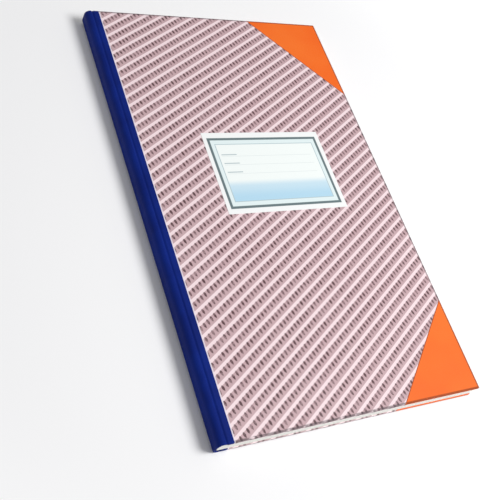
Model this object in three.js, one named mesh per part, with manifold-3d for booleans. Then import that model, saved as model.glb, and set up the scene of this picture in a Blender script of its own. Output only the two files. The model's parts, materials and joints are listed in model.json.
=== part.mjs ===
// A foolscap register book: sewn sections in a quarter-bound case, with a cloth
// spine, printed cover paper, cloth corners and a name label on the front cover.
//
// Millimetres, +Z up. The book lies closed on its back cover, spine towards -X,
// fore-edge towards +X, head towards +Y. The origin is under its middle.

import * as THREE from 'three';
import { mergeVertices } from 'three/addons/utils/BufferGeometryUtils.js';
import Module from 'manifold-3d';

const wasm = await Module();
wasm.setup();

// Case
const bookHeight = 330;
const bookWidth = 199;
const boardThickness = 1.8;
const coveringThickness = 0.25;
const turnInWidth = 15;
const bandWidth = 10;
const boardInset = 6.4;
const creaseWidth = 2.4;
const creaseDepth = 0.5;
const headCornerAcross = 65.5;
const headCornerAlong = 76;
const tailCornerAcross = 65;
const tailCornerAlong = 68;

// Label
const labelWidth = 97.5;
const labelHeight = 68;
const labelThickness = 0.15;
const labelShift = 6.5;
const labelRise = 18.6;

// Text block
const sectionCount = 8;
const leavesPerSection = 12;
const leafThickness = 0.08;
const squareWidth = 0.5;
const backRounding = 1;
const flyleafThickness = 0.15;
const flyleafPasting = 5;
const pastedownThickness = 0.15;
const threadSetback = 22;
const threadDiameter = 0.22;

// Spine
const cardThickness = 0.6;
const liningThickness = 0.25;
const mullThickness = 0.3;
const mullFlange = 22;
const liningSetback = 5;

// Clearances
const glueLine = 0.02;
const seamGap = 0.05;
const slipGap = 0.02;
const coverGap = 0.03;
const foldClearance = 0.42;
const clothSlit = 0.3;
const leafHingeGap = 0.15;

// Facets
const arcSteps = 6;
const creaseSteps = 4;
const foldSteps = 6;
const liningSteps = 8;
const threadSides = 6;

// Heights, worked up from the outer face of one cover
const boardLevel = coveringThickness + glueLine;
const turnInLevel = boardLevel + boardThickness + glueLine;
const pastedownLevel = turnInLevel + coveringThickness + glueLine;
const coverThickness = pastedownLevel + pastedownThickness;
const flyleafLevel = coverThickness + coverGap;
const blockLevel = flyleafLevel + flyleafThickness + slipGap;
const sectionThickness = leavesPerSection * leafThickness;
const sectionPitch = sectionThickness + slipGap;
const blockThickness = sectionCount * sectionPitch - slipGap;
const bookThickness = 2 * blockLevel + blockThickness;

// Distances from the spine's outer face
const shoulderRadius = boardInset - creaseWidth;
const creaseCentre = boardInset - creaseWidth / 2;
const cardFace = coveringThickness + glueLine;
const liningFace = cardFace + cardThickness + glueLine;
const mullFace = liningFace + liningThickness + glueLine;
const foldFace = mullFace + mullThickness + foldClearance;
const pageWidth = bookWidth - squareWidth - foldFace - backRounding;
const pageHeight = bookHeight - 2 * squareWidth;
const sewnLength = pageHeight - 2 * threadSetback;
const backLiningLength = bookHeight - 2 * (turnInWidth + liningSetback);
const foldStart = foldFace + backRounding;
const leafHinge = foldStart + flyleafPasting;

const materials = {
  clothBlue: [0x14267a, 0.7],
  coverPaper: [0xd8aeb4, 0.5],
  cornerOrange: [0xf97d43, 0.5],
  greyBoard: [0x9a948a, 0.9],
  labelPaper: [0xeaf4f6, 0.45],
  endPaper: [0xf1efe8, 0.8],
  pagePaper: [0xf4f2ea, 0.85],
  mullGauze: [0xe4dcc6, 0.95],
  kraftPaper: [0xb18b5e, 0.85],
  cottonThread: [0xefe9d8, 0.8],
};

function material(kind) {
  const [color, roughness] = materials[kind];
  return new THREE.MeshStandardMaterial({ color, roughness, metalness: 0 });
}

// A box between two corners, x counted from the spine's outer face.
function block([x0, x1], [y0, y1], [z0, z1]) {
  const box = new THREE.BoxGeometry(x1 - x0, y1 - y0, z1 - z0);
  box.translate((x0 + x1 - bookWidth) / 2, (y0 + y1) / 2, (z0 + z1) / 2);
  return box;
}

// A vertical prism over a triangle or other outline in plan.
function prism(points, [z0, z1]) {
  const outline = points.map(([x, y]) => new THREE.Vector2(x - bookWidth / 2, y));
  const geometry = new THREE.ExtrudeGeometry(new THREE.Shape(outline), {
    depth: z1 - z0,
    bevelEnabled: false,
  });
  geometry.translate(0, 0, z0);
  return geometry;
}

// A bar along Y whose section is an outline in x and z.
function bar(points, length, centre = 0) {
  const outline = points.map(([x, z]) => new THREE.Vector2(x - bookWidth / 2, z));
  const geometry = new THREE.ExtrudeGeometry(new THREE.Shape(outline), {
    depth: length,
    bevelEnabled: false,
  });
  geometry.rotateX(Math.PI / 2);
  geometry.translate(0, centre + length / 2, 0);
  return geometry;
}

// The outline of a sheet of even thickness whose outer face follows a line of points.
function sheetOutline(line, thickness) {
  const inner = line.map(([x, z], i) => {
    const [xa, za] = line[Math.max(i - 1, 0)];
    const [xb, zb] = line[Math.min(i + 1, line.length - 1)];
    const run = Math.hypot(xb - xa, zb - za);
    return [x - ((zb - za) / run) * thickness, z + ((xb - xa) / run) * thickness];
  });
  return [...line, ...inner.reverse()];
}

function solid(geometry) {
  const bare = geometry.clone();
  bare.deleteAttribute('normal');
  bare.deleteAttribute('uv');
  const merged = mergeVertices(bare, 1e-5);
  return new wasm.Manifold(
    new wasm.Mesh({
      numProp: 3,
      vertProperties: new Float32Array(merged.attributes.position.array),
      triVerts: new Uint32Array(merged.index.array),
    }),
  );
}

function surface(body) {
  const mesh = body.getMesh();
  const geometry = new THREE.BufferGeometry();
  geometry.setAttribute('position', new THREE.BufferAttribute(mesh.vertProperties, 3));
  geometry.setIndex(new THREE.BufferAttribute(mesh.triVerts, 1));
  geometry.computeVertexNormals();
  return geometry;
}

// A named piece, with its geometry about its own middle and its place in the mesh.
function piece(name, geometry, kind) {
  geometry.computeBoundingBox();
  const centre = geometry.boundingBox.getCenter(new THREE.Vector3());
  geometry.translate(-centre.x, -centre.y, -centre.z);
  const mesh = new THREE.Mesh(geometry, material(kind));
  mesh.name = name;
  mesh.position.copy(centre);
  return mesh;
}

// Turns a height above a cover's outer face into z, for the back cover or the front.
function heights(side, low, high) {
  return side === 'back' ? [low, high] : [bookThickness - high, bookThickness - low];
}

const halfHeight = bookHeight / 2;
const boardEnd = bookWidth - coveringThickness - glueLine;
const boardHalf = halfHeight - coveringThickness - glueLine;

// Covering turned over a board's three outer edges and 15 mm onto its inner face.
function coveringShell(side) {
  const wholeHeight = turnInLevel + coveringThickness;
  const past = bandWidth;
  const boardSpace = block(
    [boardInset - past, boardEnd + glueLine],
    [-boardHalf - glueLine, boardHalf + glueLine],
    heights(side, coveringThickness, turnInLevel),
  );
  const openInside = block(
    [boardInset - past, bookWidth - turnInWidth],
    [turnInWidth - halfHeight, halfHeight - turnInWidth],
    heights(side, turnInLevel - glueLine, wholeHeight + past),
  );
  const outside = block(
    [boardInset, bookWidth],
    [-halfHeight, halfHeight],
    heights(side, 0, wholeHeight),
  );
  return solid(outside).subtract(solid(boardSpace)).subtract(solid(openInside));
}

// The triangle that a corner piece covers, grown by a margin along its long side.
function cornerPrism(end, margin) {
  const reach = turnInWidth;
  const cutAcross = end > 0 ? headCornerAcross : tailCornerAcross;
  const cutAlong = end > 0 ? headCornerAlong : tailCornerAlong;
  const slope = cutAlong / cutAcross;
  const across = cutAcross + margin;
  const along = cutAlong + margin * slope;
  const points = [
    [bookWidth - across - reach, end * (halfHeight + reach * slope)],
    [bookWidth + reach, end * (halfHeight - along - reach * slope)],
    [bookWidth + reach, end * (halfHeight + reach * slope)],
  ];
  return prism(points, [-bookThickness, 2 * bookThickness]);
}

function crossSlab(x0, x1) {
  return block([x0, x1], [-bookHeight, bookHeight], [-bookThickness, 2 * bookThickness]);
}

function coverPaper(side) {
  let body = coveringShell(side).subtract(solid(crossSlab(0, bandWidth)));
  for (const end of [1, -1]) body = body.subtract(solid(cornerPrism(end, seamGap)));
  return piece(`${side}_cover_paper`, surface(body), 'coverPaper');
}

function cornerPiece(side, end) {
  const body = coveringShell(side).intersect(solid(cornerPrism(end, 0)));
  const name = `${side}_corner_${end > 0 ? 'head' : 'tail'}`;
  return piece(name, surface(body), 'cornerOrange');
}

// The cloth's outer face in the joint: flat, dipping into the crease between the
// board and the shoulder, then round the shoulder to the middle of its bend.
function jointLine(side, from, to) {
  const line = [];
  for (let i = 0; i <= creaseSteps; i += 1) {
    const x = from + ((to - from) * i) / creaseSteps;
    const turn = ((x - shoulderRadius) / creaseWidth) * 2 * Math.PI;
    line.push([x, (creaseDepth * (1 - Math.cos(turn))) / 2]);
  }
  return side === 'back' ? line : line.map(([x, z]) => [x, bookThickness - z]);
}

function shoulderLine(side, fromTurn, toTurn, radius = shoulderRadius) {
  const line = [];
  for (let i = 0; i <= arcSteps; i += 1) {
    const turn = fromTurn + ((toTurn - fromTurn) * i) / arcSteps;
    line.push([
      shoulderRadius - radius * Math.sin(turn),
      shoulderRadius - radius * Math.cos(turn),
    ]);
  }
  return side === 'back' ? line : line.map(([x, z]) => [x, bookThickness - z]);
}

const bend = Math.PI / 4;
const slitTurn = clothSlit / 2 / shoulderRadius;

// Each line runs so that the sheet's thickness lies on the book's inner side.
function sheetBar(side, line, thickness, length) {
  const ordered = side === 'back' ? line : [...line].reverse();
  return bar(sheetOutline(ordered, thickness), length);
}

function bandCloth(side) {
  const wrap = coveringShell(side).intersect(solid(crossSlab(0, bandWidth - seamGap)));
  const lap = [boardInset + glueLine, side === 'back' ? 0 : bookThickness];
  const line = [...jointLine(side, creaseCentre + clothSlit / 2, boardInset), lap];
  const joint = sheetBar(side, line, coveringThickness, bookHeight);
  return piece(`${side}_band_cloth`, surface(wrap.add(solid(joint))), 'clothBlue');
}

function jointCloth(side) {
  const line = [
    ...shoulderLine(side, bend - slitTurn, 0).slice(0, -1),
    ...jointLine(side, shoulderRadius, creaseCentre - clothSlit / 2),
  ];
  const geometry = sheetBar(side, line, coveringThickness, bookHeight);
  return piece(`${side}_joint_cloth`, geometry, 'clothBlue');
}

function board(side) {
  const geometry = block(
    [boardInset, boardEnd],
    [-boardHalf, boardHalf],
    heights(side, boardLevel, boardLevel + boardThickness),
  );
  return piece(`${side}_board`, geometry, 'greyBoard');
}

// The gauze's flange lies on the board's inner face, between the turned-in ends.
const insideHalf = halfHeight - turnInWidth - seamGap;
const flangeEnd = boardInset + mullFlange;

function mullFlangeSheet(side) {
  const geometry = block(
    [boardInset, flangeEnd],
    [-insideHalf, insideHalf],
    heights(side, turnInLevel, turnInLevel + coveringThickness),
  );
  return piece(`${side}_mull_flange`, geometry, 'mullGauze');
}

// The pastedown covers the turned-in edges and fills the board's bare middle.
function pastedown(side) {
  const sheet = block(
    [boardInset, bookWidth - squareWidth],
    [-pageHeight / 2, pageHeight / 2],
    heights(side, pastedownLevel, coverThickness),
  );
  const middle = block(
    [flangeEnd + seamGap, bookWidth - turnInWidth - seamGap],
    [-insideHalf, insideHalf],
    heights(side, turnInLevel, pastedownLevel + pastedownThickness / 2),
  );
  return piece(`${side}_pastedown`, surface(solid(sheet).add(solid(middle))), 'endPaper');
}

function label() {
  const centre = bookWidth / 2 + labelShift;
  const geometry = block(
    [centre - labelWidth / 2, centre + labelWidth / 2],
    [labelRise - labelHeight / 2, labelRise + labelHeight / 2],
    [bookThickness + glueLine, bookThickness + glueLine + labelThickness],
  );
  return piece('front_label', geometry, 'labelPaper');
}

function cover(side) {
  const group = new THREE.Group();
  group.add(board(side), coverPaper(side), bandCloth(side), jointCloth(side));
  group.add(cornerPiece(side, 1), cornerPiece(side, -1));
  group.add(mullFlangeSheet(side), pastedown(side));
  return group;
}

// Section 1 lies on the back cover. The outer sections stand back from the spine.
function foldAt(z) {
  const offset = (z - bookThickness / 2) / (blockThickness / 2);
  return foldFace + backRounding * Math.min(offset * offset, 1);
}

function sectionPlace(number) {
  const low = blockLevel + (number - 1) * sectionPitch;
  const middle = low + sectionThickness / 2;
  return { low, middle, fold: foldAt(middle) };
}

// A section is its folded sheets nested in one another, round along the fold.
function section(number) {
  const { middle, fold } = sectionPlace(number);
  const radius = sectionThickness / 2;
  const outline = [[fold + pageWidth, middle - radius]];
  outline.push([fold + pageWidth, middle + radius]);
  for (let i = 0; i <= foldSteps; i += 1) {
    const turn = Math.PI / 2 + (Math.PI * i) / foldSteps;
    outline.push([fold + radius + radius * Math.cos(turn), middle + radius * Math.sin(turn)]);
  }
  return piece(`section_${number}`, bar(outline, pageHeight), 'pagePaper');
}

// The sewing thread lies along the outside of the fold, clear of its ends.
function thread(number) {
  const { middle, fold } = sectionPlace(number);
  const radius = threadDiameter / 2;
  const centre = fold - seamGap - radius;
  const outline = [];
  for (let i = 0; i < threadSides; i += 1) {
    const turn = (2 * Math.PI * i) / threadSides;
    outline.push([centre + radius * Math.cos(turn), middle + radius * Math.sin(turn)]);
  }
  return piece(`thread_${number}`, bar(outline, sewnLength), 'cottonThread');
}

function leaf(name, from, level) {
  const geometry = block(
    [from, foldStart + pageWidth],
    [-pageHeight / 2, pageHeight / 2],
    [level, level + flyleafThickness],
  );
  return piece(name, geometry, 'endPaper');
}

const frontFlyleafLevel = bookThickness - flyleafLevel - flyleafThickness;

// The part of the front endpaper that is pasted to the last section along its fold.
function endpaperStrip() {
  const geometry = block(
    [foldStart, leafHinge - leafHingeGap],
    [-pageHeight / 2, pageHeight / 2],
    [frontFlyleafLevel, frontFlyleafLevel + flyleafThickness],
  );
  return piece('front_endpaper_strip', geometry, 'endPaper');
}

function textBlock() {
  const group = new THREE.Group();
  for (let number = 1; number <= sectionCount; number += 1) {
    group.add(section(number), thread(number));
  }
  group.add(leaf('back_flyleaf', foldStart, flyleafLevel));
  group.add(endpaperStrip());
  group.add(leaf('front_flyleaf', leafHinge + leafHingeGap, frontFlyleafLevel));
  return group;
}

// The spine's outer face from the middle of one shoulder's bend to the other.
function spineLine(inset, slit) {
  const radius = shoulderRadius - inset;
  const low = shoulderLine('back', bend + slit, Math.PI / 2, radius);
  const high = shoulderLine('front', bend + slit, Math.PI / 2, radius);
  return [...high, ...low.reverse()];
}

function spineSheet(inset, slit, thickness, length) {
  return bar(sheetOutline(spineLine(inset, slit), thickness), length);
}

// The cloth is turned in over both ends of the card.
function spineCloth() {
  const cardRoom = cardThickness + 2 * glueLine;
  const turnInFace = coveringThickness + cardRoom;
  const past = clothSlit;
  const whole = spineSheet(0, slitTurn, turnInFace + coveringThickness, bookHeight);
  const room = spineSheet(coveringThickness, 0, cardRoom, bookHeight - 2 * coveringThickness);
  const middle = bookHeight - 2 * turnInWidth;
  const inside = spineSheet(turnInFace - glueLine, 0, coveringThickness + past, middle);
  const body = solid(whole).subtract(solid(room)).subtract(solid(inside));
  return piece('spine_cloth', surface(body), 'clothBlue');
}

function spineCard() {
  const length = bookHeight - 2 * coveringThickness - 2 * glueLine;
  const sheet = spineSheet(cardFace, slitTurn, cardThickness, length);
  return piece('spine_card', sheet, 'greyBoard');
}

// Gauze and kraft paper follow the rounded row of folds.
function foldSheet(name, face, thickness, kind) {
  const line = [];
  for (let i = 0; i <= liningSteps; i += 1) {
    const z = bookThickness / 2 + blockThickness * (0.5 - i / liningSteps);
    line.push([face + foldAt(z) - foldFace, z]);
  }
  const inner = line.map(([x, z]) => [x + thickness, z]);
  return piece(name, bar([...line, ...inner.reverse()], backLiningLength), kind);
}

function spine() {
  const group = new THREE.Group();
  group.add(spineCloth(), spineCard());
  group.add(foldSheet('spine_lining', liningFace, liningThickness, 'kraftPaper'));
  group.add(foldSheet('spine_mull', mullFace, mullThickness, 'mullGauze'));
  return group;
}

const book = new THREE.Group();
book.add(cover('back'), textBlock(), spine(), cover('front').add(label()));

export default book;
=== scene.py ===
import json
import math
import bmesh
import bpy
from mathutils import Matrix, Vector


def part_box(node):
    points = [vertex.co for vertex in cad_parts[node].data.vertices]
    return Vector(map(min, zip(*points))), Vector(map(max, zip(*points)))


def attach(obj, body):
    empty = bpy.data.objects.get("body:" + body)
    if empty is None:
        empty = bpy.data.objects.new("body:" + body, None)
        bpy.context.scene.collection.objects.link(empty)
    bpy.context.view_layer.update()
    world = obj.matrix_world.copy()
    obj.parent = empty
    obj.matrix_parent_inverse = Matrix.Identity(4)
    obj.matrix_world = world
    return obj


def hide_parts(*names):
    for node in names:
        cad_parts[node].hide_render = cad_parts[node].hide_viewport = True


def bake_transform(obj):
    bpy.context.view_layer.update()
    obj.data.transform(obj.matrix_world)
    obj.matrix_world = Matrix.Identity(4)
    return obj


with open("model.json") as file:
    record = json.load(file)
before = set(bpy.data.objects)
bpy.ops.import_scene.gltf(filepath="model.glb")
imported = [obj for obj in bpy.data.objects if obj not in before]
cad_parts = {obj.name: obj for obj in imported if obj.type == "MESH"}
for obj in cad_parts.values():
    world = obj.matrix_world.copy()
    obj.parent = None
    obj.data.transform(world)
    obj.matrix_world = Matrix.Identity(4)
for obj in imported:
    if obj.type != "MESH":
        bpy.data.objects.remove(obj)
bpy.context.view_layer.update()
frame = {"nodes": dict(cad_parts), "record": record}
mm = 0.001
wholeTurn = 2 * math.pi

# where the covers and the spine are, read from the solids
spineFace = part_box("spine_cloth")[0].x
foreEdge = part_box("front_cover_paper")[1].x
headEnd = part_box("front_cover_paper")[1].y
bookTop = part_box("front_cover_paper")[1].z
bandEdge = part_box("front_cover_paper")[0].x
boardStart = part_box("front_board")[0].x
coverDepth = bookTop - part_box("front_cover_paper")[0].z


class Wire:
    # one socket of a material, so that shader maths reads as sums
    def __init__(self, finish, socket):
        self.finish = finish
        self.socket = socket

    def out(self, name):
        return Wire(self.finish, self.socket.node.outputs[name])

    def maths(self, operation, *others):
        values = dict(enumerate((self, *others)))
        return self.finish.add("ShaderNodeMath", {"operation": operation}, values)

    def __add__(self, other):
        return self.maths("ADD", other)

    def __radd__(self, other):
        return self.maths("ADD", other)

    def __sub__(self, other):
        return self.maths("SUBTRACT", other)

    def __rsub__(self, other):
        return self * -1 + other

    def __mul__(self, other):
        return self.maths("MULTIPLY", other)

    def __rmul__(self, other):
        return self.maths("MULTIPLY", other)

    def __truediv__(self, other):
        return self.maths("DIVIDE", other)

    def __gt__(self, other):
        return self.maths("GREATER_THAN", other)

    def __abs__(self):
        return self.maths("ABSOLUTE")

    def floor(self):
        return self.maths("FLOOR")

    def fract(self):
        return self.maths("FRACT")

    def root(self):
        return self.maths("SQRT")

    def most(self, other):
        return self.maths("MAXIMUM", other)

    def ripple(self, length):  # a sine, once round in each length
        return (self * (wholeTurn / length)).maths("SINE")

    def rise(self, low, high):  # 0 up to low, 1 from high, smooth between
        ends = {"Value": self, "From Min": low, "From Max": high}
        return self.finish.add("ShaderNodeMapRange", {"interpolation_type": "SMOOTHSTEP"}, ends)

    def near(self, place, half, soft):  # 1 within half of place
        return 1 - abs(self - place).rise(half - soft, half + soft)

    def between(self, low, high, soft):  # 0 outside, 1 from a soft width inside either end
        return self.rise(low, low + soft) * (1 - self.rise(high - soft, high))


class Finish:
    # one material: a Principled shader, with its other nodes added one at a time
    def __init__(self, name, **sockets):
        self.material = bpy.data.materials.new(name)
        self.material.use_nodes = True
        self.material.node_tree.nodes.clear()
        values = {key.replace("_", " "): value for key, value in sockets.items()}
        self.shader = self.add("ShaderNodeBsdfPrincipled", {}, values)
        self.add("ShaderNodeOutputMaterial", {}, {"Surface": self.shader})

    def add(self, kind, settings, values):
        node = self.material.node_tree.nodes.new(kind)
        for key, value in settings.items():
            setattr(node, key, value)
        for key, value in values.items():
            if isinstance(value, Wire):
                self.material.node_tree.links.new(value.socket, node.inputs[key])
            else:
                node.inputs[key].default_value = value
        shown = [socket for socket in node.outputs if socket.enabled]
        return Wire(self, shown[0] if shown else None)

    def set(self, **wires):
        for key, wire in wires.items():
            socket = self.shader.socket.node.inputs[key.replace("_", " ")]
            self.material.node_tree.links.new(wire.socket, socket)

    def mix(self, share, first, second):  # colours: first where share is 0
        return self.add("ShaderNodeMix", {"data_type": "RGBA"}, {0: share, 6: first, 7: second})

    def place(self, source):
        return self.add("ShaderNodeTexCoord", {}, {}).out(source)

    def split(self, vector):
        parts = self.add("ShaderNodeSeparateXYZ", {}, {"Vector": vector})
        return parts.out("X"), parts.out("Y"), parts.out("Z")

    def grid(self, source="Object", centre=(0, 0, 0), turn=0.0):
        # millimetres from a centre, along axes turned about Z: the vector, then X, Y, Z
        moves = {
            "Vector": self.place(source), "Location": centre,
            "Rotation": (0, 0, turn), "Scale": (mm, mm, mm),
        }
        placed = self.add("ShaderNodeMapping", {"vector_type": "TEXTURE"}, moves)
        return placed, *self.split(placed)

    def noise(self, placed, size, detail=2.0):  # size is of the largest blots, in millimetres
        values = {"Vector": placed, "Scale": 1 / size, "Detail": detail}
        return self.add("ShaderNodeTexNoise", {}, values)

    def stretch(self, placed, x, y, z):
        values = {0: placed, 1: (x, y, z)}
        return self.add("ShaderNodeVectorMath", {"operation": "MULTIPLY"}, values)

    def bump(self, height, depth, strength=1.0):  # depth in millimetres
        values = {"Height": height, "Distance": depth * mm, "Strength": strength}
        self.set(Normal=self.add("ShaderNodeBump", {}, values))


def ink(red, green, blue):  # a colour as it looks, made linear for the shader
    parts = [part / 255 for part in (red, green, blue)]
    line = [p / 12.92 if p <= 0.04045 else ((p + 0.055) / 1.055) ** 2.4 for p in parts]
    return (*line, 1)


# finishes: each has a dictionary of colours, of sizes in millimetres, and of shares; a range
# is where a mask starts and where it is whole, and a bump is its depth and its strength

blueCloth = {
    "dark": (4, 17, 84), "light": (14, 46, 144), "warp": 0.46, "weft": 0.52,
    "slubRun": (0.12, 1.6, 1), "slubSize": 1.4, "slubLean": 0.12, "slubHeight": 0.8,
    "washSize": 26, "washRange": (0.35, 0.65), "shares": (0.55, 0.2, 0.25),
    "rough": 0.56, "roughWeave": -0.06, "roughWash": 0.08, "bump": (0.035, 0.6),
}


def blueClothFinish():
    look = blueCloth
    cloth = Finish("blueCloth", Specular_IOR_Level=0.1)
    placed, along, across, _ = cloth.grid("UV")
    slub = cloth.noise(cloth.stretch(placed, *look["slubRun"]), look["slubSize"]) - 0.5
    weave = (along + slub * look["slubLean"]).ripple(look["warp"]) * across.ripple(look["weft"])
    wash = cloth.noise(placed, look["washSize"], 3).rise(*look["washRange"])
    byWeave, bySlub, byWash = look["shares"]
    thread = (weave * 0.5 + 0.5) * byWeave + (slub + 0.5) * bySlub + wash * byWash
    cloth.set(Base_Color=cloth.mix(thread, ink(*look["dark"]), ink(*look["light"])))
    cloth.set(Roughness=look["rough"] + weave * look["roughWeave"] + wash * look["roughWash"])
    cloth.bump(weave + slub * look["slubHeight"], *look["bump"])
    return cloth.material


# the covers' folded edges are darkened: partly wear, partly painted shade
edgeWearAndShade = {"half": 1.25, "soft": 0.5}


def coverEdge(x, y):  # 1 on the fold at a cover's fore-edge, head and tail, where wear and painted shade darken it
    folded = (x - foreEdge / mm).most(abs(y) - headEnd / mm)
    return folded.near(0, edgeWearAndShade["half"], edgeWearAndShade["soft"])


def cornerCut(end):
    # a corner piece's long edge: a point on it, and the direction towards the corner
    low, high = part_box("front_corner_head" if end > 0 else "front_corner_tail")
    across, along = high.x - low.x, high.y - low.y
    return Vector((low.x, end * headEnd, 0)), Vector((along, end * across, 0)).normalized()


# rows of leaning dashes on pink stripes, with paler stripes between them; each dash narrows
# from its upper end to its lower one
coverPrint = {
    "slope": 32.5, "rowPitch": 6.74, "rowStart": 0.3, "rowShift": 0.095,
    "ragged": 0.22, "raggedSize": 0.9, "stripe": (-2.6, 2.0), "stripeSoft": (0.25, 0.15),
    "stripeInk": (199, 167, 172), "ground": (247, 225, 229),
    "dash": {
        "pitch": 3.46, "lean": 0.2, "middle": 0.45, "halfLength": 1.9, "halfWidth": 0.82,
        "taper": (-1.9, 0.5), "narrowest": 0.45, "squareness": 0.8, "soft": 0.15,
        "pressedSize": 3.1, "pressedRange": (0.35, 0.6), "faintest": 0.48, "pressedGain": 0.46,
        "ink": (60, 12, 24),
    },
    # fading and lost ink are wear; the rubbed colour darkens the folded edges, partly as wear and
    # partly as painted shade
    "wearAndEdgeShade": {
        "size": 38, "range": (0.3, 0.75), "fade": 0.05, "faded": (246, 224, 226), "inkLost": 0.07,
        "margin": 0.8, "marginSoft": 0.1, "marginShare": 0.8, "bare": (240, 234, 246),
        "rubbedAndShaded": (62, 52, 58), "rubbedAndShadedSize": 3, "rubbedAndShadedRange": (0.25, 0.5), "rubbedAndShadedShare": 0.7,
    },
    "rough": 0.42, "roughWorn": 0.1, "roughDash": -0.06, "roughRubbed": 0.2,
    "fibreRun": (1, 2.2, 1), "fibreSize": 0.7, "bump": (0.012, 0.5),
}


def printedDash(paper, placed, along, row, middle, blur):
    look = coverPrint["dash"]
    pitch = look["pitch"]
    step = along / pitch + row.floor() * coverPrint["rowShift"]
    beside = (step.fract() - 0.5) * pitch - middle * look["lean"] + blur
    wrapped = ((beside / pitch + 0.5).fract() - 0.5) * pitch
    narrowing = middle.rise(*look["taper"]) * (1 - look["narrowest"]) + look["narrowest"]
    wide = wrapped / (narrowing * look["halfWidth"])
    long = (middle - look["middle"]) / look["halfLength"]
    pressed = paper.noise(placed, look["pressedSize"], 2).rise(*look["pressedRange"])
    mark = (wide * wide * look["squareness"] + long * long).near(0, 1, look["soft"])
    return mark * (pressed * look["pressedGain"] + look["faintest"])  # some took less ink


def coverPaperFinish():
    look, wearAndEdgeShade = coverPrint, coverPrint["wearAndEdgeShade"]
    paper = Finish("coverPaper", Coat_Weight=0.14, Coat_Roughness=0.25, Specular_IOR_Level=0.35)
    placed, along, across, _ = paper.grid("UV", turn=math.radians(look["slope"]))
    blur = (paper.noise(placed, look["raggedSize"], 3) - 0.5) * look["ragged"]
    row = across / look["rowPitch"] + look["rowStart"]
    middle = (row.fract() - 0.5) * look["rowPitch"] + blur
    dash = printedDash(paper, placed, along, row, middle, blur)
    (low, high), (softLow, softHigh) = look["stripe"], look["stripeSoft"]
    beyond = middle.rise(high - softHigh, high + softHigh)
    stripe = middle.rise(low - softLow, low + softLow) * (1 - beyond)
    worn = paper.noise(placed, wearAndEdgeShade["size"], 3).rise(*wearAndEdgeShade["range"])
    ground = paper.mix(stripe, ink(*look["ground"]), ink(*look["stripeInk"]))
    inked = dash * (1 - wearAndEdgeShade["inkLost"] + worn * wearAndEdgeShade["inkLost"])
    printed = paper.mix(inked, ground, ink(*look["dash"]["ink"]))
    faded = paper.mix(worn * wearAndEdgeShade["fade"], printed, ink(*wearAndEdgeShade["faded"]))
    _, x, y, _ = paper.grid("UV")
    unprinted = x.near(bandEdge / mm, wearAndEdgeShade["margin"], wearAndEdgeShade["marginSoft"])
    faded = paper.mix(unprinted * wearAndEdgeShade["marginShare"], faded, ink(*wearAndEdgeShade["bare"]))
    # dark patches along the folded edges: partly wear, partly painted shade
    patches = paper.noise(placed, wearAndEdgeShade["rubbedAndShadedSize"], 4).rise(*wearAndEdgeShade["rubbedAndShadedRange"])
    rubbedAndShaded = coverEdge(x, y) * patches
    colour = paper.mix(rubbedAndShaded * wearAndEdgeShade["rubbedAndShadedShare"], faded, ink(*wearAndEdgeShade["rubbedAndShaded"]))
    paper.set(Base_Color=colour)
    rough = worn * look["roughWorn"] + dash * look["roughDash"] + rubbedAndShaded * look["roughRubbed"]
    paper.set(Roughness=rough + look["rough"])
    fibre = paper.noise(paper.stretch(placed, *look["fibreRun"]), look["fibreSize"], 4)
    paper.bump(fibre, *look["bump"])
    return paper.material


# the rubbed colour darkens the corner's folded edges, partly as wear and partly as painted shade,
# and its cut line as a painted shadow
orangeCloth = {
    "deep": (248, 102, 16), "pale": (251, 124, 40), "rubbedAndShaded": (132, 62, 30),
    "thread": 0.42, "washSize": 45, "washRange": (0.3, 0.7), "napRun": (1, 2.5, 1),
    "napSize": 1.8, "napHeight": 0.5, "shares": (0.5, 0.14, 0.3), "cutHalf": 0.5, "cutSoft": 0.25,
    "rubbedAndShadedRange": (0.15, 0.45), "rubbedAndShadedShare": 0.8,
    "rough": 0.46, "roughWash": 0.1, "roughRubbed": 0.2, "bump": (0.03, 0.6),
}


def orangeClothFinish():
    look = orangeCloth
    cloth = Finish("orangeCloth", Coat_Weight=0.05, Coat_Roughness=0.35, Specular_IOR_Level=0.25)
    placed, along, across, _ = cloth.grid("UV")
    weave = along.ripple(look["thread"]) * across.ripple(look["thread"])
    wash = cloth.noise(placed, look["washSize"], 2).rise(*look["washRange"])
    nap = cloth.noise(cloth.stretch(placed, *look["napRun"]), look["napSize"], 3)
    byWash, byWeave, byNap = look["shares"]
    shade = wash * byWash + weave * byWeave + nap * byNap
    dyed = cloth.mix(shade, ink(*look["deep"]), ink(*look["pale"]))
    _, x, y, _ = cloth.grid()
    cuts = [cornerCut(end) for end in (1, -1)]
    head, tail = [(x - point.x / mm) * to.x + (y - point.y / mm) * to.y for point, to in cuts]
    fromCut = tail + (head - tail) * (y > 0)
    # a dark line along the folded edges, partly wear and partly painted shade, and along the cut a
    # painted shadow where the cloth meets the paper
    edge = coverEdge(along, across).most(fromCut.near(0, look["cutHalf"], look["cutSoft"]))
    rubbedAndShaded = edge * nap.rise(*look["rubbedAndShadedRange"])
    cloth.set(Base_Color=cloth.mix(rubbedAndShaded * look["rubbedAndShadedShare"], dyed, ink(*look["rubbedAndShaded"])))
    cloth.set(Roughness=look["rough"] + wash * look["roughWash"] + rubbedAndShaded * look["roughRubbed"])
    cloth.bump(weave + nap * look["napHeight"], *look["bump"])
    return cloth.material


greyBoard = {
    "dark": (134, 129, 121), "light": (168, 163, 153), "fleck": (92, 84, 74),
    "fibreRun": (1, 3, 6), "fibreSize": 1.1, "fibreRange": (0.3, 0.7),
    "fleckSize": 0.6, "fleckRange": (0.62, 0.7), "fleckShare": 0.5,
    "rough": 0.84, "roughFibre": 0.1, "bump": (0.06, 0.7),
}


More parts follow.
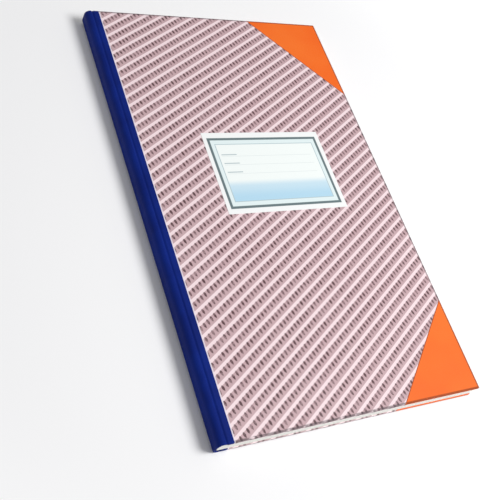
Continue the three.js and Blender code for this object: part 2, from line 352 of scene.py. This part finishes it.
def greyBoardFinish():
    look = greyBoard
    board = Finish("greyBoard")
    placed, *_ = board.grid()
    fibre = board.noise(board.stretch(placed, *look["fibreRun"]), look["fibreSize"], 5)
    fleck = board.noise(placed, look["fleckSize"], 2).rise(*look["fleckRange"])
    body = board.mix(fibre.rise(*look["fibreRange"]), ink(*look["dark"]), ink(*look["light"]))
    board.set(Base_Color=board.mix(fleck * look["fleckShare"], body, ink(*look["fleck"])))
    board.set(Roughness=fibre * look["roughFibre"] + look["rough"])
    board.bump(fibre, *look["bump"])
    return board.material


# the name label, in millimetres from its middle
namePlate = {
    "offset": (-0.2, -0.3), "frame": (44.6, 28.7), "frameHalf": 1.0, "frameSoft": 0.15,
    "inner": (40.6, 24.1), "innerHalf": 0.3, "innerSoft": 0.12, "fieldSoft": 0.2,
    "ragged": 0.1, "raggedSize": 0.5,
    "bandTop": -5.8, "bandFoot": -21.5, "bandSoon": (0, 0.4), "bandLate": (0.3, 1),
    "bandShares": (0.7, 0.3), "heights": (15.1, 7.7, 0.2), "start": -38.5, "ends": 0.3,
    "rule": {"end": 36.0, "drop": 1.4, "half": 0.12, "soft": 0.06, "share": 0.35},
    "tick": {"end": -26.0, "drop": 0, "half": 0.42, "soft": 0.12, "share": 0.7},
    "inks": {
        "edge": (250, 252, 252), "mount": (232, 246, 247), "field": (249, 255, 253),
        "band": (184, 222, 243), "rule": (150, 170, 176), "tick": (150, 172, 180),
        "inner": (182, 202, 208), "frame": (104, 122, 126),
    },
    "rough": 0.34, "roughFibre": 0.1, "fibreSize": 0.6, "bump": (0.01, 0.4),
}


def labelPaperFinish():
    look, inks = namePlate, namePlate["inks"]
    low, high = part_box("front_label")
    paper = Finish("labelPaper", Coat_Weight=0.2, Coat_Roughness=0.3)
    centre = (low + high) / 2 + Vector((*look["offset"], 0)) * mm
    placed, x, y, _ = paper.grid(centre=centre)
    blur = (paper.noise(placed, look["raggedSize"], 2) - 0.5) * look["ragged"]

    def edge(name):  # distance outside a rectangle
        half = look[name]
        return (abs(x) - half[0]).most(abs(y) - half[1]) + blur

    inside = 1 - edge("inner").rise(-look["fieldSoft"], look["fieldSoft"])
    within = 1 - edge("frame").rise(-look["fieldSoft"], look["fieldSoft"])
    colour = paper.mix(within, ink(*inks["edge"]), ink(*inks["mount"]))
    colour = paper.mix(inside, colour, ink(*inks["field"]))
    depth = (look["bandTop"] - y) / (look["bandTop"] - look["bandFoot"])
    soon, late = look["bandShares"]
    tint = depth.rise(*look["bandSoon"]) * soon + depth.rise(*look["bandLate"]) * late
    colour = paper.mix(tint * inside, colour, ink(*inks["band"]))
    for height in look["heights"]:
        for name in ("rule", "tick"):
            line = look[name]
            run = x.between(look["start"], line["end"], look["ends"])
            drawn = y.near(height - line["drop"], line["half"], line["soft"]) * run
            colour = paper.mix(drawn * line["share"], colour, ink(*inks[name]))
    for name in ("inner", "frame"):
        drawn = edge(name).near(0, look[f"{name}Half"], look[f"{name}Soft"])
        colour = paper.mix(drawn, colour, ink(*inks[name]))
    paper.set(Base_Color=colour)
    fibre = paper.noise(placed, look["fibreSize"], 4)
    paper.set(Roughness=fibre * look["roughFibre"] + look["rough"])
    paper.bump(fibre, *look["bump"])
    return paper.material


endpaper = {
    "pale": (235, 230, 217), "dull": (219, 213, 198), "cloudSize": 30, "shares": (0.6, 0.4),
    "fibreRun": (1, 2.4, 1), "fibreSize": 0.8, "fibreHeight": 0.3,
    "turnIn": 15.0, "turnInStep": 6, "flange": 28.4, "flangeStep": 3, "stepSoft": 0.7,
    "rough": 0.8, "bump": (0.02, 0.6),
}


def endPaperFinish(name, ghost):
    look = endpaper
    paper = Finish(name, Roughness=look["rough"])
    placed, x, y, _ = paper.grid(centre=(spineFace, 0, 0))
    fibre = paper.noise(paper.stretch(placed, *look["fibreRun"]), look["fibreSize"], 5)
    cloud = paper.noise(placed, look["cloudSize"], 3)
    byCloud, byFibre = look["shares"]
    share = cloud * byCloud + fibre * byFibre
    paper.set(Base_Color=paper.mix(share, ink(*look["dull"]), ink(*look["pale"])))
    height = fibre * look["fibreHeight"]
    if ghost:  # the turned-in edges and the gauze show through as faint steps
        soft = look["stepSoft"]
        rimX = (foreEdge - spineFace) / mm - look["turnIn"]
        rimY = headEnd / mm - look["turnIn"]
        height = height + (x - rimX).most(abs(y) - rimY).rise(-soft, soft) * look["turnInStep"]
        height = height + (look["flange"] - x).rise(-soft, soft) * look["flangeStep"]
    paper.bump(height, *look["bump"])
    return paper.material


# ruled leaves: their edges show as fine lines, nested round the fold
leafPaper = {
    # the same paper in two brightnesses: page faces darker than page edges, as painted shade on
    # the faces
    "face": (238, 236, 228), "white": (250, 249, 244), "shade": (222, 217, 206),
    "leaf": 0.08, "pitch": 0.98, "thick": 0.96, "middle": 3.5, "lineHalf": 0.16, "lineSoft": 0.1,
    "lineShare": 0.45, "lineDepth": 1.2, "sideRange": (0.6, 0.8),
    "waveRun": (0.02, 0.05, 9), "waveRange": (0.5, 0.8), "waveShare": 0.25, "waveHeight": 2,
    "rule": 8.0, "ruleInk": (150, 178, 205), "ruleHalf": 0.02, "ruleSoft": 0.01,
    "ruled": (139.8, 140.2), "ruleShare": 0.7,
    "margin": 34.0, "marginInk": (214, 120, 124), "marginHalf": 0.16, "marginSoft": 0.06,
    "marginShare": 0.7,
    "fibreSize": 0.5, "fibreHeight": 0.3, "rough": 0.82, "bump": (0.03, 0.6),
}


def pagePaperFinish():
    look = leafPaper
    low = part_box("section_1")[0]
    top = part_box("section_8")[1]
    paper = Finish("pagePaper", Roughness=look["rough"])
    placed, x, y, z = paper.grid(centre=(spineFace, 0, 0))
    fromFirst = z - low.z / mm
    number = (fromFirst / look["pitch"]).floor()
    height = fromFirst - number * look["pitch"] - look["thick"] / 2
    stand = (number - look["middle"]) * look["pitch"] / ((top.z - low.z) / mm / 2)
    middleFold = (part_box("section_4")[0].x - spineFace) / mm + look["thick"] / 2
    behind = (stand * stand + middleFold - x).most(0)
    fromMiddle = (behind * behind + height * height).root()
    leaf = (fromMiddle / look["leaf"]).fract()
    _, _, facing = paper.split(paper.place("Normal"))
    side = 1 - abs(facing).rise(*look["sideRange"])  # 0 on a page's face
    wave = paper.noise(paper.stretch(placed, *look["waveRun"]), 1, 2)
    line = leaf.near(0, look["lineHalf"], look["lineSoft"]) * side
    fibre = paper.noise(placed, look["fibreSize"], 4)
    shade = line * look["lineShare"] + wave.rise(*look["waveRange"]) * look["waveShare"]
    edges = paper.mix(shade, ink(*look["white"]), ink(*look["shade"]))
    # page faces take the darker colour and page edges the brighter one: painted shade on the faces
    colour = paper.mix(side, ink(*look["face"]), edges)
    onRule = ((y / look["rule"]).fract() - 0.5).near(0, look["ruleHalf"], look["ruleSoft"])
    rule = onRule * (1 - side) * (1 - abs(y).rise(*look["ruled"]))
    margin = x.near(look["margin"], look["marginHalf"], look["marginSoft"]) * (1 - side)
    colour = paper.mix(rule * look["ruleShare"], colour, ink(*look["ruleInk"]))
    colour = paper.mix(margin * look["marginShare"], colour, ink(*look["marginInk"]))
    paper.set(Base_Color=colour)
    relief = fibre * look["fibreHeight"] - line * look["lineDepth"]
    paper.bump(relief + wave * side * look["waveHeight"], *look["bump"])
    return paper.material


gauzeCloth = {
    "strand": 1.1, "strandRange": (-0.1, 0.5), "stainSize": 9, "rough": 0.92, "bump": (0.12, 0.8),
    "hole": (176, 160, 124), "stained": (222, 212, 184), "clean": (238, 232, 212),
}


def gauzeFinish():
    look = gauzeCloth
    gauze = Finish("gauze", Roughness=look["rough"], Sheen_Weight=0.15)
    placed, x, y, z = gauze.grid()
    strands = y.ripple(look["strand"]).most((x + z).ripple(look["strand"]))
    stain = gauze.noise(placed, look["stainSize"], 3)
    cotton = gauze.mix(stain, ink(*look["stained"]), ink(*look["clean"]))
    shown = strands.rise(*look["strandRange"])
    gauze.set(Base_Color=gauze.mix(shown, ink(*look["hole"]), cotton))
    gauze.bump(strands, *look["bump"])
    return gauze.material


kraftPaper = {
    "dark": (160, 120, 78), "light": (192, 152, 106), "fibreRun": (1, 0.2, 3), "fibreSize": 0.9,
    "fibreRange": (0.3, 0.7), "rough": 0.78, "roughFibre": 0.1, "bump": (0.03, 0.6),
}


def kraftFinish():
    look = kraftPaper
    kraft = Finish("kraftPaper")
    placed, *_ = kraft.grid()
    fibre = kraft.noise(kraft.stretch(placed, *look["fibreRun"]), look["fibreSize"], 5)
    share = fibre.rise(*look["fibreRange"])
    kraft.set(Base_Color=kraft.mix(share, ink(*look["dark"]), ink(*look["light"])))
    kraft.set(Roughness=fibre * look["roughFibre"] + look["rough"])
    kraft.bump(fibre, *look["bump"])
    return kraft.material


sewingThread = {
    "dark": (206, 196, 172), "light": (244, 239, 226), "twist": 0.7, "lean": 1.6, "fuzzSize": 0.3,
    "fuzzHeight": 0.4, "rough": 0.65, "roughFuzz": 0.2, "bump": (0.03, 0.8),
}


def threadFinish():
    look = sewingThread
    thread = Finish("cottonThread", Sheen_Weight=0.2)
    placed, x, y, z = thread.grid()
    twist = (y + (x + z) * look["lean"]).ripple(look["twist"])
    fuzz = thread.noise(placed, look["fuzzSize"], 3)
    thread.set(Base_Color=thread.mix(twist * 0.5 + 0.5, ink(*look["dark"]), ink(*look["light"])))
    thread.set(Roughness=fuzz * look["roughFuzz"] + look["rough"])
    thread.bump(twist + fuzz * look["fuzzHeight"], *look["bump"])
    return thread.material


finishes = {
    "blue_cloth": blueClothFinish(),
    "cover_paper": coverPaperFinish(),
    "orange_cloth": orangeClothFinish(),
    "grey_board": greyBoardFinish(),
    "label_paper": labelPaperFinish(),
    "end_paper": endPaperFinish("endPaper", False),
    "page_paper": pagePaperFinish(),
    "gauze": gauzeFinish(),
    "kraft_paper": kraftFinish(),
    "thread": threadFinish(),
}
pastedownPaper = endPaperFinish("pastedownPaper", True)
print("finishes made:", len(finishes) + 1)


def newPiece(name, mesh, slotName, body=None, replaced=()):
    # a finished mesh becomes a piece with its slot's finish, on its body when one is given
    data = bpy.data.meshes.new(name)
    mesh.to_mesh(data)
    mesh.free()
    piece = bpy.data.objects.new(name, data)
    bpy.context.scene.collection.objects.link(piece)
    data.materials.append(finishes[slotName])
    if body:
        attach(piece, body)
    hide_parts(*replaced)
    return piece


def thicken(piece, thickness, offset=-1):
    wall = piece.modifiers.new("thickness", "SOLIDIFY")
    wall.thickness = thickness
    wall.offset = offset
    wall.use_even_offset = True


def settle(piece):  # the thickness becomes mesh, so that a tight bend can't pinch it
    shapes = bpy.context.evaluated_depsgraph_get()
    piece.data = bpy.data.meshes.new_from_object(piece.evaluated_get(shapes))
    piece.modifiers.clear()


def outward(side):  # which way a cover faces, and the height of its outer face
    return (1, bookTop) if side == "front" else (-1, 0.0)


# the covering on each board: paper, and cloth at the two fore-edge corners

boardSkin = {
    "thickness": 0.25 * mm, "rounding": 0.4 * mm, "steps": 4, "turnIn": 15 * mm, "seam": 0.05 * mm,
}
squarely, turnedUnder, turnedUp = 0.99, -0.5, 0.6  # how far a face's normal lies outward


def skinOnBoard(side):
    # rounded over the board's edges and turned in, open at the spine
    out, outer = outward(side)
    skin = bmesh.new()
    bmesh.ops.create_cube(skin, size=1)
    size = (foreEdge - boardStart, 2 * headEnd, coverDepth)
    middle = ((foreEdge + boardStart) / 2, 0, outer - out * coverDepth / 2)
    bmesh.ops.scale(skin, vec=size, verts=skin.verts)
    bmesh.ops.translate(skin, vec=middle, verts=skin.verts)
    skin.normal_update()
    spineEnd = [face for face in skin.faces if face.normal.x < -squarely]
    bmesh.ops.delete(skin, geom=spineEnd, context="FACES_ONLY")
    folds = [edge for edge in skin.edges if not edge.is_boundary]
    bmesh.ops.bevel(
        skin, geom=folds, offset=boardSkin["rounding"], segments=boardSkin["steps"],
        profile=0.5, affect="EDGES", material=-1,
    )
    rimX = foreEdge - boardSkin["turnIn"]
    rimY = headEnd - boardSkin["turnIn"]
    cuts = (((rimX, 0, 0), (1, 0, 0)), ((0, rimY, 0), (0, 1, 0)), ((0, -rimY, 0), (0, 1, 0)))
    for point, normal in cuts:
        skin.normal_update()
        inner = [face for face in skin.faces if face.normal.z * out < -squarely]
        parts = {part for face in inner for part in (face, *face.edges, *face.verts)}
        bmesh.ops.bisect_plane(skin, geom=list(parts), plane_co=point, plane_no=normal)
    skin.normal_update()
    bare = [
        face for face in skin.faces
        if face.normal.z * out < -squarely
        and face.calc_center_median().x < rimX
        and abs(face.calc_center_median().y) < rimY
    ]
    bmesh.ops.delete(skin, geom=bare, context="FACES")
    return skin


def unrollPrint(skin, side):
    # a UV map in metres, carried on over the edges as the sheet is
    out, outer = outward(side)
    flat = skin.loops.layers.uv.new("flat")
    skin.normal_update()
    for face in skin.faces:
        facing = face.normal.z * out
        middle = face.calc_center_median()
        nearFore = foreEdge - middle.x < headEnd - abs(middle.y)
        for loop in face.loops:
            x, y, z = loop.vert.co
            depth = abs(outer - z)
            if facing < turnedUnder:
                depth += (foreEdge - x) if nearFore else (headEnd - abs(y))
            if facing < turnedUp:
                if nearFore:
                    x = foreEdge + depth
                else:
                    y = math.copysign(headEnd + depth, y)
            loop[flat].uv = (x, y * out)


def cutAway(skin, point, normal, keepBeyond):
    everything = [*skin.verts, *skin.edges, *skin.faces]
    bmesh.ops.bisect_plane(
        skin, geom=everything, plane_co=point, plane_no=normal,
        clear_inner=keepBeyond, clear_outer=not keepBeyond,
    )


def sortParts(skin):  # bevels and cuts list a skin's parts in another order each run
    def place(part):  # its middle, to a tenth of a micrometre
        corners = [vert.co for vert in getattr(part, "verts", [part])]
        return [round(sum(values) / len(corners), 7) for values in zip(*corners)]

    for parts in (skin.verts, skin.edges, skin.faces):
        ranks = {part: rank for rank, part in enumerate(sorted(parts, key=place))}
        parts.sort(key=ranks.get)


def coverPaperPiece(side):
    skin = skinOnBoard(side)
    cutAway(skin, (bandEdge, 0, 0), (1, 0, 0), True)
    for end in (1, -1):
        point, normal = cornerCut(end)
        cutAway(skin, point - normal * boardSkin["seam"], normal, False)
    unrollPrint(skin, side)
    sortParts(skin)
    replaced = [f"{side}_cover_paper"]
    piece = newPiece(f"{side}CoverPaper", skin, "cover_paper", f"{side}_cover", replaced)
    thicken(piece, boardSkin["thickness"])


def cornerPiece(side, end):
    skin = skinOnBoard(side)
    cutAway(skin, *cornerCut(end), True)
    unrollPrint(skin, side)
    sortParts(skin)
    where = "head" if end > 0 else "tail"
    name = f"{side}{where.capitalize()}Corner"
    replaced = [f"{side}_corner_{where}"]
    piece = newPiece(name, skin, "orange_cloth", f"{side}_cover", replaced)
    thicken(piece, boardSkin["thickness"])


for side in ("front", "back"):
    coverPaperPiece(side)
    for end in (1, -1):
        cornerPiece(side, end)
print("covers dressed")


# the blue cloth: one sheet from board to board, made as three that meet unseen

caseCloth = {
    "thickness": 0.25 * mm, "shoulder": 4.0 * mm, "crease": 0.5 * mm, "seam": 0.05 * mm,
    "turnIn": 15 * mm, "spineLevel": 1.14 * mm, "foldLevel": 0.55 * mm, "rounding": 0.27 * mm,
    "leastGap": 0.002 * mm, "plainHalf": 20 * mm, "blendStart": 0.1 * mm,
    "rows": {
        "band": (0, 0.03, 0.25, 0.5, 0.75, 1), "crease": 14, "shoulder": 12, "spine": 5,
        "turnIn": 3, "rim": 6, "half": 12, "halfShare": 0.99,
    },
}
shoulder = caseCloth["shoulder"]


def clothRun(fromBand, toSpine):
    # the sheet's outer line from a board's band to the middle of the spine: each entry is the
    # distance from the spine's face, the height from the cover's face, the inward direction
    # and how deep the turned-in end lies
    look, rows = caseCloth, caseCloth["rows"]
    band = bandEdge - spineFace - look["seam"]
    board = boardStart - spineFace
    run = []
    if fromBand:
        for share in rows["band"]:
            run.append((band + (board - band) * share, 0.0, (0, 1), coverDepth))
        width = board - shoulder
        for i in range(1, rows["crease"] + 1):
            turn = wholeTurn * i / rows["crease"]
            slope = look["crease"] / 2 * math.sin(turn) * wholeTurn / width
            inward = Vector((slope, 1)).normalized()
            depth = look["crease"] * (1 - math.cos(turn)) / 2
            run.append((board - width * i / rows["crease"], depth, inward, look["foldLevel"]))
    if toSpine:
        for i in range(1 if fromBand else 0, rows["shoulder"] + 1):
            turn = math.pi / 2 * i / rows["shoulder"]
            level = look["foldLevel"] if i < rows["shoulder"] / 2 else look["spineLevel"]
            place = (shoulder * (1 - math.sin(turn)), shoulder * (1 - math.cos(turn)))
            run.append((*place, (math.sin(turn), math.cos(turn)), level))
        for i in range(1, rows["spine"] + 1):
            height = shoulder + (bookTop / 2 - shoulder) * i / rows["spine"]
            run.append((0.0, height, (1, 0), look["spineLevel"]))
    return run


def rimRun(level):
    # across the sheet, from one turned-in end round to the other: each entry is y and depth
    look, rows = caseCloth, caseCloth["rows"]
    rounding = min(look["rounding"], level / 2 - look["leastGap"])
    reach = look["turnIn"]
    half = [(headEnd - reach * (1 - i / rows["turnIn"]), level) for i in range(rows["turnIn"])]
    half.append((headEnd - 2 * rounding, level))
    turns = [math.pi / 2 * i / rows["rim"] for i in range(rows["rim"] + 1)]
    for turn in turns:
        short = rounding * (1 - math.sin(turn))
        half.append((headEnd - short, level - rounding * (1 - math.cos(turn))))
    for turn in turns:
        short = rounding * (1 - math.cos(turn))
        half.append((headEnd - short, rounding * (1 - math.sin(turn))))
    half.append((headEnd - 3 * rounding, 0.0))
    steps = range(2 * rows["half"] + 1)
    middle = [(headEnd * (1 - i / rows["half"]) * rows["halfShare"], 0.0) for i in steps]
    return half + middle + [(-y, depth) for y, depth in reversed(half)]


def sheetGrid(columns, rows):
    # a flat sheet, and each vertex's column and row in it
    sheet = bmesh.new()
    bmesh.ops.create_grid(sheet, x_segments=columns, y_segments=rows, size=0.5)
    places = {}
    for vert in sheet.verts:
        places[vert] = round((vert.co.x + 0.5) * columns), round((vert.co.y + 0.5) * rows)
    for face in sheet.faces:
        face.smooth = True
    return sheet, places


def lengthsAlong(points):
    lengths = [0.0]
    for before, after in zip(points, points[1:]):
        lengths.append(lengths[-1] + math.dist(before[:2], after[:2]))
    return lengths


def bookCloth(name, side, run, replaced):
    out, outer = outward(side)
    rims = [rimRun(level) for *_, level in run]
    sheet, places = sheetGrid(len(run) - 1, len(rims[0]) - 1)
    flat = sheet.loops.layers.uv.new("flat")
    along, around = lengthsAlong(run), lengthsAlong(rims[0])
    for face in sheet.faces:
        for loop in face.loops:
            i, j = places[loop.vert]
            loop[flat].uv = (around[j], along[i])
    for vert, (i, j) in places.items():
        across, height, inward, _ = run[i]
        y, depth = rims[i][j]
        z = outer - out * (height + inward[1] * depth)
        vert.co = (spineFace + across + inward[0] * depth, y, z)
    sheet.normal_update()
    plain = caseCloth["plainHalf"]
    first = next(face for face in sheet.faces if abs(face.calc_center_median().y) < plain)
    x, z = run[places[first.verts[0]][0]][2]
    if first.normal.dot(Vector((x, 0, -out * z))) > 0:
        bmesh.ops.reverse_faces(sheet, faces=sheet.faces)
    piece = newPiece(name, sheet, "blue_cloth", None, replaced)
    thicken(piece, caseCloth["thickness"])
    settle(piece)
    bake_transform(piece)


bookCloth(
    "backCloth", "back", clothRun(True, True),
    ["back_band_cloth", "back_joint_cloth"],
)
bookCloth(
    "spineCloth", "front", clothRun(False, True),
    ["spine_cloth", "front_joint_cloth"],
)
bookCloth(
    "frontCloth", "front", clothRun(True, False),
    ["front_band_cloth"],
)
print("spine covered")


# endpapers: the front flyleaf is made flat with fine rows round its pasted strip, and each
# pastedown bridges its joint

flyleafSheet = {
    "thickness": 0.15 * mm, "bendBefore": 1.0 * mm, "bendAfter": 22 * mm, "fineRun": 25 * mm,
    "stripRows": 3, "fineRows": 30, "plainRows": 12,
}
jointSheet = {
    "thickness": 0.1 * mm, "fromFold": 0.1 * mm, "toBoard": 0.02 * mm, "below": 0.03 * mm,
    "rows": 16,
}
edgeRow = 0.1 * mm  # a narrow last row keeps a sheet's shading flat up to its edge
halfRows = 6


def evenly(start, end, rows):  # the starts of equal rows
    return [start + (end - start) * i / rows for i in range(rows)]


def paperSheet(name, xs, y, z, thickness, replaced=()):
    xs = [xs[0], xs[0] + edgeRow, *xs[1:-1], xs[-1] - edgeRow, xs[-1]]
    inner = (y * i / halfRows for i in range(1 - halfRows, halfRows))
    ys = [-y, edgeRow - y, *inner, y - edgeRow, y]
    sheet, places = sheetGrid(len(xs) - 1, len(ys) - 1)
    for vert, (i, j) in places.items():
        vert.co = (xs[i], ys[j], z)
    piece = newPiece(name, sheet, "end_paper", None, replaced)
    thicken(piece, thickness, 0)
    settle(piece)
    return piece


def frontFlyleaf():
    look = flyleafSheet
    low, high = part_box("front_flyleaf")
    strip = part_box("front_endpaper_strip")
    hinge = (low.x + strip[1].x) / 2
    fineStart = hinge - look["bendBefore"]
    fineEnd = fineStart + look["fineRun"]
    xs = evenly(strip[0].x, fineStart, look["stripRows"])
    xs += evenly(fineStart, fineEnd, look["fineRows"])
    xs += evenly(fineEnd, high.x, look["plainRows"]) + [high.x]
    leaf = paperSheet(
        "frontFlyleafSheet", xs, high.y, (low.z + high.z) / 2, look["thickness"],
        ["front_flyleaf", "front_endpaper_strip"],
    )
    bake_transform(leaf)


def endpaperJoint(side):
    look = jointSheet
    low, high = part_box(f"{side}_pastedown")
    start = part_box("front_endpaper_strip")[0].x + look["fromFold"]
    end = low.x - look["toBoard"]
    xs = evenly(start, end, look["rows"]) + [end]
    out, _ = outward(side)
    inside = low.z if out > 0 else high.z
    z = inside + out * (look["thickness"] / 2 + look["below"])
    sheet = paperSheet(f"{side}EndpaperJoint", xs, high.y, z, look["thickness"])
    if side == "back":
        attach(sheet, "back_cover")
    else:
        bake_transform(sheet)


frontFlyleaf()
endpaperJoint("front")
endpaperJoint("back")
print("endpapers hung")


# every solid that still shows takes its own finish

for part in frame["record"]["subparts"]:
    node = frame["nodes"][part["node"]]
    node.data.materials.clear()
    node.data.materials.append(finishes[part["material_slot"]])
for side in ("front", "back"):
    frame["nodes"][f"{side}_pastedown"].data.materials.clear()
    frame["nodes"][f"{side}_pastedown"].data.materials.append(pastedownPaper)
print("solids finished")


# floor, light and camera

room = {
    "floor": (250, 250, 251), "floorHalf": 3, "fade": (210, 700), "glow": 0.7, "sky": 0.36,
    "key": {"place": (0.8, -0.5, 1.25), "size": 0.8, "energy": 20.5},
    "fill": {"place": (-0.9, 0.6, 1.1), "size": 1.2, "energy": 0.6},
}


def floorPiece():
    floor = bmesh.new()
    bmesh.ops.create_grid(floor, x_segments=1, y_segments=1, size=room["floorHalf"])
    data = bpy.data.meshes.new("floor")
    floor.to_mesh(data)
    floor.free()
    plane = bpy.data.objects.new("floor", data)
    bpy.context.scene.collection.objects.link(plane)
    white = Finish("paleFloor", Roughness=0.9, Base_Color=ink(*room["floor"]), Emission_Strength=1)
    _, x, y, _ = white.grid()
    away = (x * x + y * y).root().rise(*room["fade"])  # far off, the floor runs into the white
    seen = white.add("ShaderNodeLightPath", {}, {}).out("Is Camera Ray")
    glow = (room["glow"], room["glow"], room["glow"], 1)
    white.set(Emission_Color=white.mix(seen * away, (0, 0, 0, 1), glow))
    data.materials.append(white.material)


def lamp(name):
    look = room[name]
    data = bpy.data.lights.new(name, "AREA")
    data.shape = "DISK"
    data.size = look["size"]
    data.energy = look["energy"]
    light = bpy.data.objects.new(name, data)
    light.location = look["place"]
    light.rotation_euler = (-Vector(look["place"])).to_track_quat("-Z", "Y").to_euler()
    bpy.context.scene.collection.objects.link(light)


def sky():
    world = bpy.data.worlds.new("studio")
    world.use_nodes = True
    tree = world.node_tree
    tree.nodes.clear()
    output = tree.nodes.new("ShaderNodeOutputWorld")
    light = tree.nodes.new("ShaderNodeBackground")
    seen = tree.nodes.new("ShaderNodeBackground")
    mixer = tree.nodes.new("ShaderNodeMixShader")
    path = tree.nodes.new("ShaderNodeLightPath")
    light.inputs["Strength"].default_value = room["sky"]
    light.inputs["Color"].default_value = (1, 1, 1, 1)
    seen.inputs["Color"].default_value = (1, 1, 1, 1)
    tree.links.new(path.outputs["Is Camera Ray"], mixer.inputs[0])
    tree.links.new(light.outputs[0], mixer.inputs[1])
    tree.links.new(seen.outputs[0], mixer.inputs[2])
    tree.links.new(mixer.outputs[0], output.inputs["Surface"])
    bpy.context.scene.world = world


# the photograph's view: where the lens is, in millimetres, and which way it looks
view = {
    "place": (-295.27, -260.25, 421.29), "right": (0.86866, -0.30982, 0.38657),
    "up": (0.08050, 0.85821, 0.50695), "ahead": (0.48882, 0.40925, -0.77044),
    "lens": 58.05, "sensor": 36, "nearest": 0.01,
}


def cameraPiece():
    data = bpy.data.cameras.new("camera")
    data.lens = view["lens"]
    data.sensor_width = view["sensor"]
    data.clip_start = view["nearest"]
    camera = bpy.data.objects.new("camera", data)
    turn = Matrix((view["right"], view["up"], -Vector(view["ahead"]))).transposed().to_4x4()
    camera.matrix_world = Matrix.Translation(Vector(view["place"]) * mm) @ turn
    bpy.context.scene.collection.objects.link(camera)
    bpy.context.scene.camera = camera


floorPiece()
lamp("key")
lamp("fill")
sky()
cameraPiece()
bpy.context.scene.view_settings.view_transform = "Standard"

print("scene ready")
